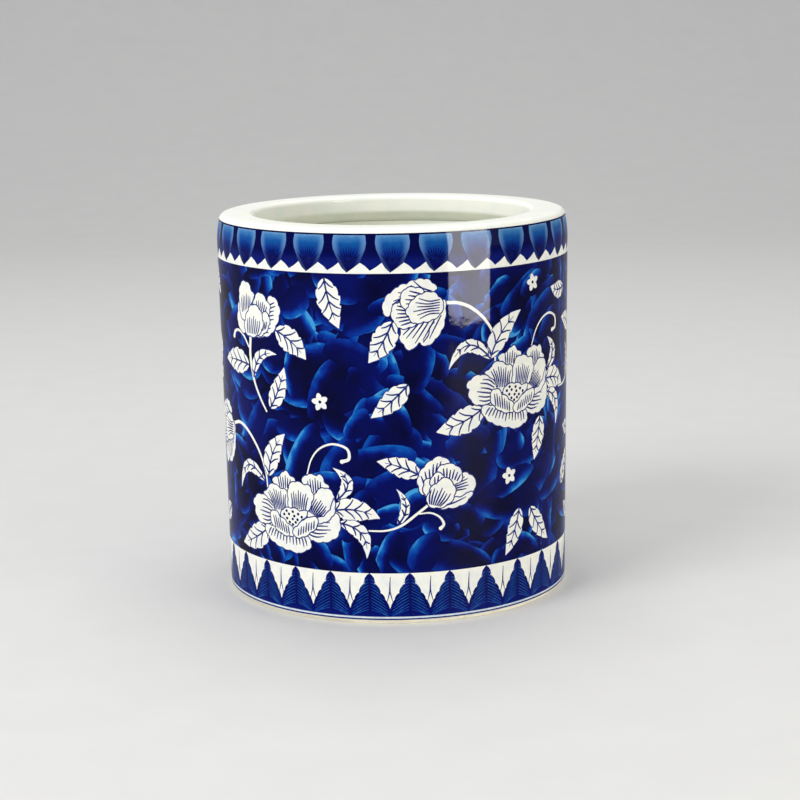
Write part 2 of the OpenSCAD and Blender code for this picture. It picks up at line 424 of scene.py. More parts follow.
def open_bud(pen):
    """A bud that opens up and to the right from its stem at the lower left."""
    pen.petal([(11.6, 8.6), (13.4, 9.2), (14.6, 8.6), (15.8, 7.4), (16.6, 5.9), (15.8, 3.9), (15, 2.4),
        (11, 0.6), (6, 0.4), (8, 5)])
    pen.veins(5, [(8.4, 3.8), (9, 6.4)], [(16.2, 4), (15, 9.6)], reach=0.88)
    pen.petal([(5, 0), (7.6, 0.6), (10.2, 2), (12.4, 2), (14.2, 3.2), (15.4, 2.8), (14, 0.8), (11.6, -0.6),
        (8.4, -1), (5.6, -0.9)])
    pen.line([(6.4, -0.3), (10, 0.6), (13.4, 1.9)], (0.55, 0.5, 0.25))
    pen.petal([(0.4, 3.6), (-0.8, 6.4), (-0.8, 9), (0.6, 11.6), (3, 13.8), (5.6, 14.8), (7.8, 13.6),
        (8.6, 12), (6.4, 10.6), (4, 8), (2, 4)])
    pen.veins(6, [(0.6, 6), (5.4, 10.6)], [(-1.2, 10.6), (7.2, 16)], reach=0.84)
    pen.petal([(4.8, 10), (6, 12.1), (8.2, 12.3), (9.9, 12), (11.6, 10.4), (12.2, 8.6), (11.4, 6.8), (9, 6),
        (6.2, 8)])
    pen.veins(6, [(6.4, 8.8), (11, 6.8)], [(5.8, 13), (13.2, 10.2)], reach=0.84)
    pen.petal([(0.9, 4), (0.9, 7), (1.9, 8.2), (3.4, 8), (4.4, 5.2), (2.4, 2.6)])
    pen.petal([(2.8, 6.4), (3.4, 9), (5, 9.9), (6.6, 8.8), (6.4, 7), (4.6, 5.6)])
    pen.veins(3, [(3.6, 6.6), (6, 7)], [(3.4, 10.2), (7, 9.8)], reach=0.8)
    pen.petal([(1.6, 1.4), (2.2, 3.9), (3.4, 6), (5.6, 7.4), (7.2, 8.4), (8.8, 6.9), (9.9, 5.2), (9.8, 2.8),
        (8.6, 0.9), (6.6, -0.3), (4.2, -0.6), (2.6, 0)])
    pen.veins(7, [(2.2, 0.6), (5.6, -0.4)], [(2.6, 7.6), (10.6, 4.6)], bow=-0.15, reach=0.88)


def leaf(pen, base, tip, width, bend=0.0, lobes=5, fold=1.0):
    """A lobed leaf with a midrib and pairs of veins. bend bows the midrib, and fold narrows one half."""
    base, tip = np.array(base, float), np.array(tip, float)
    along = tip - base
    side = np.array([-along[1], along[0]])
    share = np.linspace(0, 1, 8 * lobes + 1)
    rib = base + np.outer(share, along) + np.outer(4 * share * (1 - share) * bend, side)
    sides = side_ways(rib)
    ahead = np.stack([sides[:, 1], -sides[:, 0]], 1)
    swell = np.sin(math.pi * share**0.74) ** 0.9 * width / 2
    notch = 1 - 0.2 * (share * lobes % 1) ** 2.2 * (share < 0.97) * (share > 0.12)
    left = rib + sides * (swell * notch)[:, None]
    right = rib - sides * (swell * notch * fold)[:, None]
    outline = np.concatenate([left, right[-2:0:-1]])
    pen.fill(grown(outline, OUTLINE_W * 0.6), LINE)
    pen.fill(outline)
    pen.line(rib[: int(len(rib) * 0.9) : 3], (0.6, 0.5, 0.14))
    for k in range(VEIN_PAIRS):
        i = int((0.05 + 0.62 * k / (VEIN_PAIRS - 1)) * len(rib))
        for way, part in ((1, 1.0), (-1, fold)):
            edge = swell[min(i + len(rib) // 9, len(swell) - 1)] * part * 0.86
            end = rib[i] + sides[i] * way * edge + ahead[i] * edge
            middle = between(rib[i], end, 0.5) + ahead[i] * edge * 0.14
            pen.line([rib[i], middle, end], (0.5, 0.5, 0.32))


def star(pen):
    """A small flower of five pointed petals with a dark eye."""
    turn = np.arange(50) / 50 * 2 * math.pi
    from_tip = np.abs((turn / (2 * math.pi) * 5 + 0.5) % 1 - 0.5) * 2
    radius = STAR_TIP_R - (STAR_TIP_R - STAR_NOTCH_R) * from_tip**1.35
    outline = np.stack([radius * np.sin(turn), radius * np.cos(turn)], 1)
    pen.fill(grown(outline, 0.15), LINE)
    pen.fill(outline)
    pen.fill(disc((0, 0), 0.5), DOT)


def tendril(pen, points, thin, thick, bulb=0.0):
    """A thin white stem that swells towards its end, which may curl into a thick round head."""
    end = thick + bulb * 0.5
    pen.fill(stroke(points, (thin, (thin + thick) / 2, thick, end)))
    if bulb:
        pen.fill(disc(points[-1], bulb * 0.85))


# ---- the flower field

BUD_SQUEEZE = (0.81, 1.0)
DAB_PITCH = (10.5, 9.0)
DAB_LAYERS = 3
DAB_RADII = (3.6, 6.6)
DAB_SEED = 5
SLIVER = 0.5
SEAM_OVERLAP = 5


def band(drawing, low, high, piece, overlap):
    """A plain strip right round the pot, which overlaps itself at the back."""
    edge = WALL_LENGTH / 2 + overlap
    drawing.add([(-edge, low), (edge, low), (edge, high), (-edge, high)], piece)


def brush_ground(drawing):
    """Covers the field with overlapping dabs of the brush. Neighbours lean roughly the same way."""
    band(drawing, FIELD_BOTTOM, FIELD_TOP, GROUND, SEAM_OVERLAP)
    rng = np.random.default_rng(DAB_SEED)
    columns = round(WALL_LENGTH / DAB_PITCH[0])
    rows = round((FIELD_TOP - FIELD_BOTTOM) / DAB_PITCH[1]) + 1
    for _ in range(DAB_LAYERS):
        cells = [(i, j) for i in range(columns) for j in range(rows)]
        for k in rng.permutation(len(cells)):
            i, j = cells[k]
            x = ((i + rng.uniform(-0.5, 0.5)) / columns - 0.5) * WALL_LENGTH
            y = FIELD_BOTTOM + (j + rng.uniform(-0.5, 0.5)) * DAB_PITCH[1]
            swirl = 1.9 * math.sin(3 * 2 * math.pi * x / WALL_LENGTH + y / 17) + 1.2 * math.cos(y / 11)
            size = rng.uniform(*DAB_RADII) * np.array([rng.uniform(1.1, 2.0), rng.uniform(0.55, 0.9)])
            sway = rng.uniform(0, 2 * math.pi, 2)
            dab = Dab((x, y), swirl + rng.normal(0, 0.7), size, rng.uniform(0.2, 1.0), sway)
            outline = dab.outline()
            outline[:, 1] = np.clip(outline[:, 1], FIELD_BOTTOM, FIELD_TOP)
            if np.ptp(outline[:, 1]) > SLIVER:
                drawing.add(outline, GROUND, WHITE, dab)


def spot(azimuth, height):
    """A place on the unrolled wall from its azimuth in degrees and its height."""
    return azimuth * DEG, height


def spray(drawing, name, azimuth, height, stem, bud, crown, curl, low_leaf, tilt=0):
    """A peony with its leaves, tendrils, nodding bud and open bud, in mm from the peony's centre."""
    at = spot(azimuth, height)
    stems = Pen(drawing, f"{name}_stems", at)
    tendril(stems, stem, 0.5, 1.0)
    head = Pen(drawing, f"{name}_stems", at, tilt)
    loop = [(5.2, 13), (7, 18.4), (10, 22), (14.3, 23.6), (18.6, 22.4), (19.2, 19.4), (17, 18.4)]
    tendril(head, loop, 0.35, 0.7, 0.75)
    tendril(stems, [(24.7, -2.4), (30, -2.3), (34.6, -0.8), (39, 2.4), (43, 5.4)], 0.45, 0.8)
    tendril(stems, [(39.8, 2.6), (43.4, 2.7), (46.2, 1.2), (47.4, -1), (46.4, -2.2)], 0.4, 0.65, 0.7)
    leaves = Pen(drawing, f"{name}_leaves", at)
    beside = Pen(drawing, f"{name}_leaves", at, tilt)
    leaf(leaves, (-9.8, 11.2), crown, 6.8, bend=0.1)
    leaf(leaves, *curl, 4.6, bend=-0.42, fold=0.8)
    leaf(leaves, *low_leaf, 8.0, bend=0.05)
    leaf(beside, (15, 6.6), (14, 16.4), 4.4, bend=-0.42, lobes=4, fold=0.8)
    leaf(beside, (13.6, 3.2), (28.2, 1.4), 7.2, bend=0.1)
    leaf(beside, (15.6, -0.4), (24, -11), 4.6, bend=0.26)
    leaf(leaves, (40.4, 14.2), (27.6, 18.8), 6.2, bend=-0.05)
    leaf(leaves, (33.4, -0.6), (33.2, 10.4), 3.4, bend=-0.25, lobes=4, fold=0.7)
    side_bud(Pen(drawing, f"{name}_nodding_bud", (at[0] + bud[0], at[1] + bud[1]), size=BUD_SQUEEZE))
    open_bud(Pen(drawing, f"{name}_open_bud", (at[0] + 40.6, at[1] + 4.8), size=(1.04, 1.0)))
    peony(Pen(drawing, f"{name}_peony", at, tilt))


def sprig(drawing, name, azimuth, height):
    """A cupped bud on a long stem with four leaves."""
    at = spot(azimuth, height)
    stems = Pen(drawing, f"{name}_stems", at)
    tendril(stems, [(7, -22.4), (3.9, -18), (1.3, -13), (-0.1, -6), (0.4, 0.4)], 0.6, 1.1)
    tendril(stems, [(-0.6, -3.6), (-3.4, -0.4), (-6.4, 1), (-9, 0.4), (-9.9, -1.2)], 0.6, 0.8, 0.85)
    leaves = Pen(drawing, f"{name}_leaves", at)
    leaf(leaves, (-1, -9), (-17.4, -9.2), 8, bend=-0.04)
    leaf(leaves, (1.4, -12.4), (12, -4.4), 4.2, bend=0.24, fold=0.75)
    leaf(leaves, (8.6, -21), (14.8, -8), 6.2, bend=-0.05)
    leaf(leaves, (11.8, 3), (22.8, -5), 7.8, bend=0.08)
    cup_bud(Pen(drawing, f"{name}_bud", at))


def loose_leaf(drawing, name, base, tip, width, bend=0.0):
    """A single leaf between two places on the wall."""
    leaf(Pen(drawing, name, (0, 0)), spot(*base), spot(*tip), width, bend)


def flower_field(drawing, number, turn):
    """Everything printed on one half of the wall, turned round the pot by some degrees."""
    spray(drawing, f"low_spray_{number}", turn - 35, 31.5,
          stem=[(-10.4, 7), (-11.2, 12.4), (-14, 18.4), (-19, 23.4), (-24.4, 25.6), (-29.5, 24.6)],
          bud=(-37.5, 21.5), crown=(-2.4, 25.2), curl=((-11.6, 9.4), (-25.4, 5)),
          low_leaf=((-10.2, -4.6), (-25.6, -12.6)))
    spray(drawing, f"high_spray_{number}", turn + 41.4, 68,
          stem=[(-8, 9), (-8.4, 17.4), (-11.2, 22.6), (-15.6, 26.6), (-20, 28.6), (-24.6, 29)],
          bud=(-32.6, 27), crown=(2, 24.6), curl=((-9.6, 11), (-23.4, 9)),
          low_leaf=((-12.2, -3.4), (-27.4, -9.4)), tilt=-7)
    sprig(drawing, f"sprig_{number}", turn - 52.4, 85)
    leaves = f"loose_leaves_{number}"
    for base, tip, width, bend in (
        ((-21.5, 104.6), (-17, 89.8), 7.6, -0.04),
        ((-0.4, 92), (-8, 79.8), 7.4, 0.04),
        ((4, 73.2), (-7.6, 63.4), 6.4, 0.03),
        ((53.6, 58.8), (50.4, 45.6), 6.6, 0.03),
        ((43, 31.8), (37, 18), 6.2, 0.05),
        ((48.4, 31.2), (59, 19), 6.2, -0.05),
        ((72, 96.4), (60.4, 97.6), 5.6, 0.1),
        ((71, 34), (80, 44), 6.0, 0.0),
        ((82, 50), (73.5, 52), 5.0, 0.0),
        ((-87, 104), (-77, 95), 6.0, 0.0),
        ((-74, 28), (-84, 22), 6.0, 0.0),
        ((84, 22), (76, 27), 5.4, 0.05),
    ):
        loose_leaf(drawing, leaves, (turn + base[0], base[1]), (turn + tip[0], tip[1]), width, bend)
    for azimuth, height in ((-24, 67.6), (49.3, 100.2), (38.6, 42.6), (-82, 70)):
        star(Pen(drawing, f"stars_{number}", spot(turn + azimuth, height), turn=12))


# ---- the two borders

UPPER_REPEATS, LOWER_REPEATS = 27, 28
RIM_LINE = 117.1
ZIGZAG_TIP = 106.4
ZIGZAG_TOP = 109.2
PETAL_SEAM = 0.3
LOWER_TURN = 3.7
LEAF_JOIN = 5.1
HERRING_PITCH = 0.94
HERRING_DROP = 0.55
FOOT_LINE = (1.95, 2.5)


def upper_border(drawing):
    """Hanging light petals over dark ones, with a white zigzag below and a dark line under the lip."""
    pitch = WALL_LENGTH / UPPER_REPEATS
    band(drawing, UPPER_BOTTOM, UPPER_TOP, "upper_border_ground", pitch)
    band(drawing, UPPER_BOTTOM, ZIGZAG_TOP, "upper_border_zigzag", pitch)
    quarter = pitch / 4
    flank = [(quarter, ZIGZAG_TOP), (3.5, 110.2), (4.1, 111.6), (4.75, 113.2), (5.05, 115.0), (4.9, 116.4),
             (4.75, RIM_LINE)]
    mirrored = [(-x, y) for x, y in reversed(flank)]
    petal = np.array([(-0.8, ZIGZAG_TIP - 0.1), (1.5, 107.9), *flank, *mirrored, (-2.2, 107.6)])
    seam = grown(petal, PETAL_SEAM)
    seam[:, 1] = np.clip(seam[:, 1], ZIGZAG_TOP + 0.2, RIM_LINE)
    for k in range(-UPPER_REPEATS // 2, UPPER_REPEATS // 2 + 2):
        x = k * pitch
        dark = [(quarter, ZIGZAG_TOP + 0.02), (-quarter, ZIGZAG_TOP + 0.02), (-quarter * 0.55, 108.3),
                (-0.3, 106.9), (quarter * 0.5, 108.0)]
        drawing.add(np.array(dark) + [x + pitch / 2, 0], "upper_border_ground")
        drawing.add(seam + [x, 0], "upper_border_petals", LINE)
        drawing.add(petal + [x, 0], "upper_border_petals")
        for j in range(-4, 5):
            foot = (x - 0.3 + 0.26 * j, 108.8 + 0.12 * abs(j))
            top = (x + 0.84 * j, 113.9 - 0.14 * j * j)
            feather = stroke([foot, between(foot, top, 0.5), top], (0.5, 0.42, 0.1))
            drawing.add(feather, "upper_border_petals", LINE)
    band(drawing, RIM_LINE, UPPER_TOP, "upper_border_ground", pitch)


def lower_border(drawing):
    """Standing lobed leaves with herringbone veins and white between them, over a pale foot line."""
    pitch = WALL_LENGTH / LOWER_REPEATS
    band(drawing, LOWER_BOTTOM, LOWER_TOP, "lower_border_white", pitch)
    band(drawing, LOWER_BOTTOM, LEAF_JOIN, "lower_border_leaves", pitch)
    half = [(0.1, LOWER_TOP), (0.8, 15.4), (1.4, 14.6), (1.65, 13.6), (1.5, 12.9), (2.2, 12.4),
            (2.9, 11.5), (3.3, 10.6), (3.3, 10.0), (4.0, 9.5), (4.6, 8.6), (4.7, 7.9), (5.2, 7.3),
            (5.7, 6.3), (6.1, 5.0)]
    outline = np.array([*half, *[(-x, y) for x, y in reversed(half)]])
    halves, heights = (list(values) for values in zip(*reversed(half)))
    for k in range(-LOWER_REPEATS // 2 - 1, LOWER_REPEATS // 2 + 1):
        x = k * pitch + LOWER_TURN * DEG
        drawing.add(outline + [x, 0], "lower_border_leaves")
        drawing.add(stroke([(x, 15.2), (x, 9), (x, 2.8)], (0.3, 0.5, 0.4)), "lower_border_leaves", DOT)
        for row in np.arange(4.3, 14.6, HERRING_PITCH):
            wide = min(np.interp(row - 1.2, heights, halves), pitch / 2 - 0.1)
            for way in (-1, 1):
                start = (x + way * 0.4, row + 0.4)
                end = (x + way * (wide * 0.93), max(row + 0.4 - HERRING_DROP * wide, 2.7))
                bone = stroke([start, between(start, end, 0.5) + [0, 0.16], end], (0.14, 0.28, 0.14))
                drawing.add(bone, "lower_border_leaves", LINE)
        tooth = x + pitch / 2
        spear = [(tooth + 0.2, 14.9), (tooth + 0.05, 12.6), (tooth, 10.6)]
        drawing.add(stroke(spear, (0.18, 0.36, 0.5)), "lower_border_white", LINE)
        for way in (-1, 1):
            prong = [(tooth, 10.8), (tooth + way * 0.35, 9), (tooth + way * 0.95, 6.9)]
            drawing.add(stroke(prong, (0.36, 0.34, 0.14)), "lower_border_white", LINE)
    band(drawing, *FOOT_LINE, "foot_line", pitch)


# ---- meshes

def new_piece(name, points, faces):
    """A mesh object at the origin, in metres, that rides on the one CAD body."""
    mesh = bpy.data.meshes.new(name)
    mesh.from_pydata([tuple(p) for p in points], [], faces)
    mesh.update()
    piece = bpy.data.objects.new(name, mesh)
    bpy.context.scene.collection.objects.link(piece)
    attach(piece, "root")
    return piece


def rolled(points, depth):
    """Flat points rolled onto the wall, some depth below its surface, in metres."""
    turn = points[:, 0] / WALL_LENGTH * 2 * math.pi
    radius = np.array([wall_radius(z) for z in points[:, 1]]) - depth
    return np.stack([radius * np.sin(turn), -radius * np.cos(turn), points[:, 1]], 1) * MM


def outward(points):
    """Unit normals of the wall's surface at flat points."""
    turn = points[:, 0] / WALL_LENGTH * 2 * math.pi
    slope = np.array([wall_slope(z) for z in points[:, 1]])
    normals = np.stack([np.sin(turn), -np.cos(turn), -slope], 1)
    return normals / np.linalg.norm(normals, axis=1)[:, None]


def print_piece(name, points, cells, materials):
    """A thin closed shell of print and glaze: triangles on the wall, a copy inside, and walls between."""
    used = sorted({i for corners, _, _ in cells for i in corners})
    index = {old: new for new, old in enumerate(used)}
    flat = points[used]
    count = len(used)
    outer = [tuple(index[i] for i in corners) for corners, _, _ in cells]
    inner = [(a + count, c + count, b + count) for a, b, c in outer]
    edges = dict.fromkeys(edge for a, b, c in outer for edge in ((a, b), (b, c), (c, a)))
    rims = [(b, a, a + count, b + count) for a, b in edges if (b, a) not in edges]
    places = np.concatenate([rolled(flat, 0.0), rolled(flat, PRINT_THICK)])
    piece = new_piece(name, places, outer + inner + rims)
    for material in materials:
        piece.data.materials.append(material)
    inks = [ink for _, ink, _ in cells] + [WHITE] * (len(inner) + len(rims))
    piece.data.polygons.foreach_set("material_index", inks)
    piece.data.polygons.foreach_set("use_smooth", [True] * len(inks))
    normals = outward(flat)
    piece.data.normals_split_custom_set_from_vertices(np.concatenate([normals, -normals]).tolist())
    if name.startswith(GROUND):
        frames = np.zeros((len(piece.data.loops), 3), np.float32)
        for k, (corners, _, dab) in enumerate(cells):
            if dab:
                frames[3 * k : 3 * k + 3] = dab.own_frame(points[corners])
        attribute = piece.data.attributes.new("dab", "FLOAT_VECTOR", "CORNER")
        attribute.data.foreach_set("vector", frames.ravel())
    return piece


def arc(centre, radius, start, end, steps=10):
    """Points along a round part of a profile, between two angles in degrees."""
    turns = np.radians(np.linspace(start, end, steps + 1))
    return [(centre[0] + radius * math.cos(t), centre[1] + radius * math.sin(t)) for t in turns]


def lathe(name, profile, segments=288):
    """A closed profile of radius and height turned round the pot's axis."""
    rows, points, faces = [], [], []
    for radius, height in profile:
        if radius < 1e-6:
            rows.append([len(points)] * segments)
            points.append((0, 0, height * MM))
            continue
        first = len(points)
        rows.append(list(range(first, first + segments)))
        for k in range(segments):
            turn = 2 * math.pi * k / segments
            points.append((radius * math.sin(turn) * MM, -radius * math.cos(turn) * MM, height * MM))
    for row, above in zip(rows, rows[1:] + rows[:1]):
        for k in range(segments):
            loop = [row[k], row[(k + 1) % segments], above[(k + 1) % segments], above[k]]
            corners = list(dict.fromkeys(loop))
            if len(corners) > 2:
                faces.append(corners)
    piece = new_piece(name, points, faces)
    piece.data.polygons.foreach_set("use_smooth", [True] * len(faces))
    piece.data.set_sharp_from_angle(angle=math.radians(35))
    return piece


def lip_profile():
    """The thick in-turned lip with its shoulder under the print, rounded outside and inside the mouth."""
    low = [(wall_radius(z) - PRINT_THICK, z) for z in np.linspace(LIP_BOTTOM, UPPER_TOP, 9)]
    centre_z = LIP_TOP - LIP_OUTER_ROUND
    reach = SHOULDER_CURVE - LIP_OUTER_ROUND
    centre_r = POT_R - SHOULDER_CURVE + math.sqrt(reach**2 - (centre_z - SHOULDER_Z) ** 2)
    start = math.degrees(math.asin((UPPER_TOP - centre_z) / LIP_OUTER_ROUND))
    outer = arc((centre_r, centre_z), LIP_OUTER_ROUND, start, 90, 14)
    inner_r = MOUTH_R + LIP_INNER_ROUND
    upper = arc((inner_r, LIP_TOP - LIP_INNER_ROUND), LIP_INNER_ROUND, 90, 180, 12)
    heel = (HOLLOW_R, LIP_BOTTOM)
    low_z = LIP_TOP - LIP_FACE + LIP_INNER_ROUND
    run, rise = heel[0] - inner_r, heel[1] - low_z
    spread = math.degrees(math.acos(LIP_INNER_ROUND / math.hypot(run, rise)))
    end = math.degrees(math.atan2(rise, run)) % 360 - spread
    lower = arc((inner_r, low_z), LIP_INNER_ROUND, 180, end, 8)
    return [*low, *outer, *upper, *lower, heel]


def foot_profile():
    """The foot ring with its bevels, under the lowest band."""
    clay = wall_radius(LOWER_BOTTOM) - PRINT_THICK
    flat_end = wall_radius(LOWER_BOTTOM) - FOOT_BEVEL
    flat_start = flat_end - FOOT_WIDTH + FOOT_BEVEL
    return [(flat_start, FOOT_BOTTOM), (flat_end, FOOT_BOTTOM), (wall_radius(LOWER_BOTTOM), LOWER_BOTTOM),
            (clay, LOWER_BOTTOM), (clay, FOOT_TOP), (flat_start - FOOT_BEVEL, FOOT_TOP),
            (flat_start - FOOT_BEVEL, FOOT_BOTTOM + FOOT_BEVEL)]


def liner_profile():
    """The glaze inside, down the wall and round the corner onto the floor."""
    face = HOLLOW_R - LINER_THICK
    floor = HOLLOW_BOTTOM + LINER_THICK
    corner = arc((face - HOLLOW_CORNER, floor + HOLLOW_CORNER), HOLLOW_CORNER, 0, -90, 12)
    outside = [(0, HOLLOW_BOTTOM), (HOLLOW_R, HOLLOW_BOTTOM), (HOLLOW_R, SHOULDER_Z)]
    return [*outside, (face, SHOULDER_Z), *corner, (0, floor)]


# ---- materials

def tone(red, green, blue):
    """A colour from display values of 0 to 255."""
    def linear(v):
        v /= 255
        return v / 12.92 if v <= 0.04045 else ((v + 0.055) / 1.055) ** 2.4
    return linear(red), linear(green), linear(blue), 1.0


class Shader:
    """A material under construction. Each call adds a node and returns its output."""

    def __init__(self, name):
        self.material = bpy.data.materials.new(name)
        self.material.use_nodes = True
        self.nodes = self.material.node_tree.nodes
        self.links = self.material.node_tree.links
        self.surface = self.nodes["Principled BSDF"]
        inputs = {0: self.node("ShaderNodeTexCoord", 3), 1: (1 / MM,) * 3}
        self.place = self.node("ShaderNodeVectorMath", 0, inputs, operation="MULTIPLY")

    def node(self, kind, output, inputs=(), **settings):
        node = self.nodes.new(kind)
        for key, value in settings.items():
            setattr(node, key, value)
        for key, value in dict(inputs).items():
            if isinstance(value, bpy.types.NodeSocket):
                self.links.new(value, node.inputs[key])
            else:
                node.inputs[key].default_value = value
        return node.outputs[output]

    def maths(self, operation, a, b=0.0, clamp=False):
        return self.node("ShaderNodeMath", 0, {0: a, 1: b}, operation=operation, use_clamp=clamp)

    def times(self, a, *others):
        for b in others:
            a = self.maths("MULTIPLY", a, b)
        return a

    def plus(self, a, b, clamp=False):
        return self.maths("ADD", a, b, clamp)

    def minus(self, a, b, clamp=False):
        return self.maths("SUBTRACT", a, b, clamp)

    def noise(self, scale, detail=3.0, place=None):
        """Noise with features about 1/scale millimetres across."""
        inputs = {"Vector": place or self.place, "Scale": scale, "Detail": detail}
        return self.node("ShaderNodeTexNoise", 0, inputs)

    def fade(self, value, start, end, low=0.0, high=1.0):
        """A smooth change from low to high as the value goes from start to end."""
        inputs = {"Value": value, "From Min": start, "From Max": end, "To Min": low, "To Max": high}
        return self.node("ShaderNodeMapRange", 0, inputs, interpolation_type="SMOOTHSTEP")

    def mix(self, share, a, b):
        return self.node("ShaderNodeMix", 2, {0: share, 6: a, 7: b}, data_type="RGBA")

    def ramp(self, value, stops):
        """A colour ramp whose stops are a place and a colour as display values."""
        output = self.node("ShaderNodeValToRGB", 0, {0: value})
        elements = output.node.color_ramp.elements
        while len(elements) < len(stops):
            elements.new(0.5)
        for element, (place, shade) in zip(elements, stops):
            element.position = place
            element.color = tone(*shade)
        return output

    def part(self, axis):
        """One coordinate of the place, in millimetres."""
        return self.node("ShaderNodeSeparateXYZ", "XYZ".index(axis), {0: self.place})

    def glaze(self, colour):
        """Clear glossy glaze over a colour, with faint waves and a finer ripple."""
        waves, ripple = self.noise(0.22, 2.0), self.noise(1.3, 1.0)
        height = self.plus(self.times(waves, 0.03), self.times(ripple, 0.0025))
        bump = self.node("ShaderNodeBump", 0, {"Height": height, "Strength": 0.5, "Distance": MM})
        for key in ("Normal", "Coat Normal"):
            self.links.new(bump, self.surface.inputs[key])
        self.links.new(colour, self.surface.inputs["Base Color"])
        self.links.new(self.fade(self.noise(0.5), 0.3, 0.7, 0.24, 0.34), self.surface.inputs["Roughness"])
        self.surface.inputs["Specular IOR Level"].default_value = 0.0
        self.surface.inputs["Coat Weight"].default_value = 0.5
        self.surface.inputs["Coat Roughness"].default_value = 0.035
        self.surface.inputs["Coat IOR"].default_value = 1.2
        return self.material


def cobalt_ground():
    """Deep cobalt in overlapping dabs, each bright along the edge that it leans to and fading to navy."""
    s = Shader("cobalt_ground")
    dab = s.node("ShaderNodeAttribute", 1, attribute_name="dab")
    split = s.node("ShaderNodeSeparateXYZ", 0, {0: dab}).node
    across, up, strength = split.outputs
    reach = s.maths("SQRT", s.plus(s.times(across, across), s.times(up, up)))
    reach = s.plus(reach, s.times(s.minus(s.noise(0.28, 2.0), 0.5), 0.5))
    around = s.maths("ARCTAN2", across, up)
    facing = s.fade(s.maths("ABSOLUTE", around), 2.1, 0.25)
    along = {0: s.times(around, 0.7), 1: s.times(reach, 9.0), 2: s.times(strength, 40.0)}
    streak_place = s.node("ShaderNodeCombineXYZ", 0, along)
    streaks = s.fade(s.noise(1.0, 3.0, place=streak_place), 0.3, 0.7, -0.12, 0.12)
    uneven = s.fade(s.noise(0.12, 3.0), 0.35, 0.65, 0.55, 1.1)
    edge = s.maths("POWER", s.fade(reach, 0.0, 1.02), 1.5)
    weight = s.plus(s.times(strength, 0.75), 0.3)
    light = s.times(edge, facing, weight, uneven, s.plus(streaks, 1.0))
    rim = s.times(s.fade(reach, 0.84, 1.0), facing, strength)
    soft = s.times(s.fade(s.noise(0.06, 2.0), 0.35, 0.7), 0.2)
    level = s.plus(s.plus(light, s.times(rim, 0.12)), soft, clamp=True)
    colour = s.ramp(level, [(0.0, (0, 1, 42)), (0.22, (1, 11, 92)), (0.48, (2, 44, 138)),
                            (0.76, (10, 86, 170)), (1.0, (60, 146, 204))])
    return s.glaze(colour)


def white_ink():
    """White body under clear glaze, with a little blue drawn in from the lines about it."""
    s = Shader("white_print")
    cloud = s.fade(s.noise(0.35, 4.0), 0.35, 0.75)
    colour = s.mix(cloud, tone(240, 239, 228), tone(228, 230, 228))
    flecks = s.fade(s.noise(2.6, 5.0), 0.66, 0.78, 0.0, 0.35)
    return s.glaze(s.mix(flecks, colour, tone(196, 208, 230)))


def line_ink(name, dark, pale):
    """Brushed cobalt line, a little thinner and paler here and there."""
    s = Shader(name)
    return s.glaze(s.mix(s.fade(s.noise(0.9, 4.0), 0.35, 0.75), dark, pale))


def border_dark():
    """Dark petals of the upper border, a little lighter towards their tips."""
    s = Shader("border_dark")
    rise = s.plus(s.part("Z"), s.times(s.noise(0.8), 1.2))
    colour = s.mix(s.fade(rise, 109.0, 113.5), tone(5, 20, 104), tone(2, 4, 62))
    return s.glaze(colour)


def border_petal():
    """Light petals: pale at the rim and the top, mid blue in the middle and navy at the tip."""
    s = Shader("border_petal")
    turn = s.maths("ARCTAN2", s.part("X"), s.times(s.part("Y"), -1.0))
    share = s.maths("FRACT", s.plus(s.times(turn, UPPER_REPEATS / (2 * math.pi)), 0.5))
    across = s.maths("ABSOLUTE", s.minus(share, 0.5))
    level = s.maths("DIVIDE", s.minus(s.part("Z"), 106.0), 11.5)
    wobble = s.times(s.minus(s.noise(0.7, 4.0), 0.5), 0.12)
    body = s.ramp(s.plus(level, wobble), [
        (0.0, (2, 4, 60)), (0.36, (3, 12, 92)), (0.55, (6, 44, 126)), (0.76, (15, 78, 147)),
        (0.9, (56, 114, 170)), (1.0, (114, 154, 192))])
    narrowing = s.maths("POWER", s.minus(1.0, level, clamp=True), 2.6)
    half = s.times(s.minus(1.0, narrowing), 0.385)
    towards_edge = s.fade(s.maths("DIVIDE", across, half), 0.55, 1.02)
    rim = s.times(towards_edge, s.fade(level, 0.3, 0.75, 0.12, 0.62))
    return s.glaze(s.mix(rim, body, tone(106, 150, 194)))


def leaf_band():
    """The lower border's leaves: navy with a paler rim towards the foot."""
    s = Shader("leaf_band")
    height = s.maths("DIVIDE", s.plus(s.part("Z"), s.times(s.noise(0.6, 4.0), 2.0)), 16.0)
    return s.glaze(s.ramp(height, [(0.1, (8, 34, 118)), (0.3, (4, 14, 96)),
                                   (0.6, (3, 9, 82)), (1.0, (4, 15, 96))]))


def lip_glaze(name, shade=(243, 242, 232)):
    """Thick white glaze, slightly cooler where it pools."""
    s = Shader(name)
    pool = s.fade(s.noise(0.12, 3.0), 0.35, 0.7)
    colour = s.mix(pool, tone(*shade), tone(shade[0] - 8, shade[1] - 3, shade[2] - 2))
    specks = s.fade(s.noise(1.7, 5.0), 0.72, 0.8, 0.0, 0.5)
    return s.glaze(s.mix(specks, colour, tone(196, 190, 172)))


